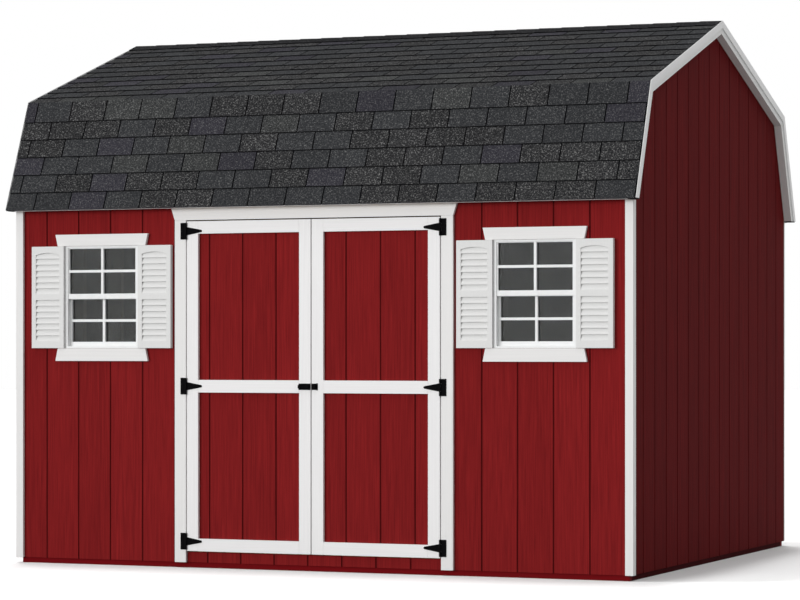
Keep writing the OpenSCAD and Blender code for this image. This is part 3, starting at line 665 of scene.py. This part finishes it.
leaf_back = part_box("left_door_panel")[1].y
door_stiles = white_paint("white paint on door stiles", ALONG_Z, DOOR_WHITES, bare_from=leaf_back)
door_rails = white_paint("white paint on door rails", ALONG_X, DOOR_WHITES, bare_from=leaf_back)
for hand, groove in LEAF_GROOVES.items():
    leaf_paint = painted_siding("red paint on " + hand + " leaf", "X", (0, -1, 0), long_face, groove,
                                FRONT_RED, FRONT_SHEEN)
    dress([hand + "_door_panel"], leaf_paint, SHEET_EDGE)
    dress([hand + "_door_stiles"], door_stiles, LUMBER_EDGE)
    dress([hand + "_door_rails"], door_rails, LUMBER_EDGE)

# Hinges and bolt
# Powder-coated steel T-hinges, three to a leaf, each a plate on the casing and a strap on the leaf.
# A slide bolt runs in two guides on the left leaf and into a keeper on the right one.
dress(["hinge_plates", "left_hinge_straps", "right_hinge_straps"], powder_coat, METAL_EDGE)
dress(["latch_plate", "latch_bolt", "latch_keeper"], powder_coat, METAL_EDGE)

# Hinge and latch screws
# Black pan-head wood screws: three in each hinge plate and strap, two in the bolt's plate and two
# in its keeper. Their sockets show only close by.
SCREW_R = 3.4 * MM
SCREW_HEAD = 1.6 * MM
SOCKET_DEPTH = 0.6 * MM
HINGE_HEIGHTS = (148 * MM, 1014.5 * MM, 1880 * MM)
HINGE_STANDOFF = 22 * MM
LATCH_STANDOFF = 21.5 * MM
PLATE_SCREW_INSET = 14.5 * MM
PLATE_SCREW_RISES = (-32 * MM, 0, 32 * MM)
STRAP_SCREW_STEPS = (22 * MM, 47 * MM, 72 * MM)
LATCH_SCREW_RISES = (-12.5 * MM, 12.5 * MM)
BOLT_SCREW_X = 41 * MM
KEEPER_SCREW_X = 37 * MM


def drive_screws(name, body, spots):
    """One piece with a screw head on each spot of a front face."""
    screws = bmesh.new()
    facing = Matrix.Rotation(math.radians(90), 4, "X")
    for spot in spots:
        head = Matrix.Translation(spot) @ facing @ Matrix.Translation((0, 0, SCREW_HEAD / 2))
        bmesh.ops.create_cone(screws, cap_ends=True, segments=10, radius1=SCREW_R, radius2=0.7 * SCREW_R,
                              depth=SCREW_HEAD, matrix=head)
    tops = [face for face in screws.faces if face.normal.y < -0.9]
    bmesh.ops.inset_individual(screws, faces=tops, thickness=0.35 * SCREW_R, depth=-SOCKET_DEPTH)
    mesh = bpy.data.meshes.new(name)
    screws.to_mesh(mesh)
    screws.free()
    mesh.materials.append(powder_coat)
    piece = bpy.data.objects.new(name, mesh)
    bpy.context.collection.objects.link(piece)
    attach(piece, body)


hinge_face = -long_face - HINGE_STANDOFF
latch_face = -long_face - LATCH_STANDOFF
latch_z = HINGE_HEIGHTS[1]
plate_x = -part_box("hinge_plates")[0].x - PLATE_SCREW_INSET
strap_tip = -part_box("left_hinge_straps")[1].x
plate_spots = [(side * plate_x, hinge_face, z + rise) for side in (-1, 1) for z in HINGE_HEIGHTS
               for rise in PLATE_SCREW_RISES]
drive_screws("hinge_plate_screws", "shed", plate_spots)
for body, side, latch_x in (("left_door", -1, BOLT_SCREW_X), ("right_door", 1, KEEPER_SCREW_X)):
    strap_spots = [(side * (strap_tip + step), hinge_face, z) for z in HINGE_HEIGHTS
                   for step in STRAP_SCREW_STEPS]
    latch_spots = [(side * latch_x, latch_face, latch_z + rise) for rise in LATCH_SCREW_RISES]
    drive_screws(body + "_screws", body, strap_spots + latch_spots)

# Floor, light and camera
# A pale studio floor and an even white surround. A broad lamp low at the front left and a soft one
# overhead light the shed, and a few steep ones light the floor alone.
FLOOR_RADIUS = 70
PAPER_SEEN = "#d8d8d8"
PAPER_DIM = "#666666"
SKY_STRENGTH = 0.6
BACKDROP_STRENGTH = 1.0

ground = bmesh.new()
bmesh.ops.create_circle(ground, cap_ends=True, segments=96, radius=FLOOR_RADIUS)
floor_mesh = bpy.data.meshes.new("studio_floor")
ground.to_mesh(floor_mesh)
ground.free()
studio_floor = bpy.data.objects.new("studio_floor", floor_mesh)
bpy.context.collection.objects.link(studio_floor)


def seen_rays(material):
    """One for a ray from the eye, a reflection or through glass, nought for one that only carries light."""
    rays = add(material, "LightPath").outputs
    seen = add(material, "Math", {0: rays["Is Camera Ray"], 1: rays["Is Glossy Ray"]}, operation="MAXIMUM")
    seen = add(material, "Math", {0: seen.outputs[0], 1: rays["Is Transmission Ray"]}, operation="MAXIMUM")
    return seen.outputs[0]


# Seamless paper: white to the eye and in reflections, dim to the light that it throws back.
paper = start_material("white seamless paper")
tint = add(paper, "Mix", {0: seen_rays(paper), 6: linear(PAPER_DIM), 7: linear(PAPER_SEEN)},
           data_type="RGBA").outputs[2]
diffuse = add(paper, "BsdfDiffuse", {"Color": tint})
add(paper, "OutputMaterial", {"Surface": diffuse.outputs[0]})
floor_mesh.materials.append(paper)

world = bpy.data.worlds.new("white surround")
world.use_nodes = True
world.node_tree.nodes.clear()
strength = add(world, "MapRange", {0: seen_rays(world), 3: SKY_STRENGTH, 4: BACKDROP_STRENGTH}).outputs[0]
surround = add(world, "Background", {"Color": (1, 1, 1, 1), "Strength": strength})
add(world, "OutputWorld", {"Surface": surround.outputs[0]})
bpy.context.scene.world = world

# The broad lamp's direction is told by how far it stands to the left and how high.
LAMP_SIDE = math.radians(30)
LAMP_HEIGHT = math.radians(4)
# Steep floor lamps, each a height and a turn towards the back, in degrees. The lower ones throw shadows
# that lie level in the picture behind the gable's foot, the steepest also shade the front's foot.
FLOOR_LAMPS = ((66, 0), (73, 0), (77, 95), (80, 75), (85, 70))
CAMERA_PLACE = (6.663, -16.309, 1.223)
CAMERA_TURN = math.radians(22.56)


def hang_lamp(name, comes_from, energy, spread):
    """A far lamp that shines from the direction comes_from, its disc spread over that many degrees."""
    lamp = bpy.data.lights.new(name, "SUN")
    lamp.energy = energy
    lamp.angle = math.radians(spread)
    lamp_object = bpy.data.objects.new(name, lamp)
    lamp_object.rotation_euler = comes_from.to_track_quat("Z", "Y").to_euler()
    bpy.context.collection.objects.link(lamp_object)
    return lamp_object


broad_from = Vector((-math.sin(LAMP_SIDE) * math.cos(LAMP_HEIGHT),
                     -math.cos(LAMP_SIDE) * math.cos(LAMP_HEIGHT), math.sin(LAMP_HEIGHT)))
broad_lamp = hang_lamp("broad lamp", broad_from, energy=2.6, spread=30)
broad_lamp.visible_glossy = False
hang_lamp("overhead lamp", Vector((0, 0, 1)), energy=1.0, spread=60)
floor_only = bpy.data.collections.new("floor alone")
floor_only.objects.link(studio_floor)
for height, turn in FLOOR_LAMPS:
    floor_from = Vector((-math.cos(math.radians(height)), 0, math.sin(math.radians(height))))
    floor_from.rotate(Matrix.Rotation(CAMERA_TURN - math.radians(turn), 3, "Z"))
    floor_lamp = hang_lamp("floor lamp", floor_from, energy=0.56, spread=4)
    floor_lamp.light_linking.receiver_collection = floor_only

camera = bpy.data.cameras.new("camera")
camera.sensor_width = 36
camera.lens = 132.786
camera.shift_y = 0.0610
camera.clip_end = 500
camera_object = bpy.data.objects.new("camera", camera)
camera_object.location = CAMERA_PLACE
camera_object.rotation_euler = (math.radians(90), 0, CAMERA_TURN)
bpy.context.collection.objects.link(camera_object)
bpy.context.scene.camera = camera_object
bpy.context.scene.view_settings.view_transform = "Standard"
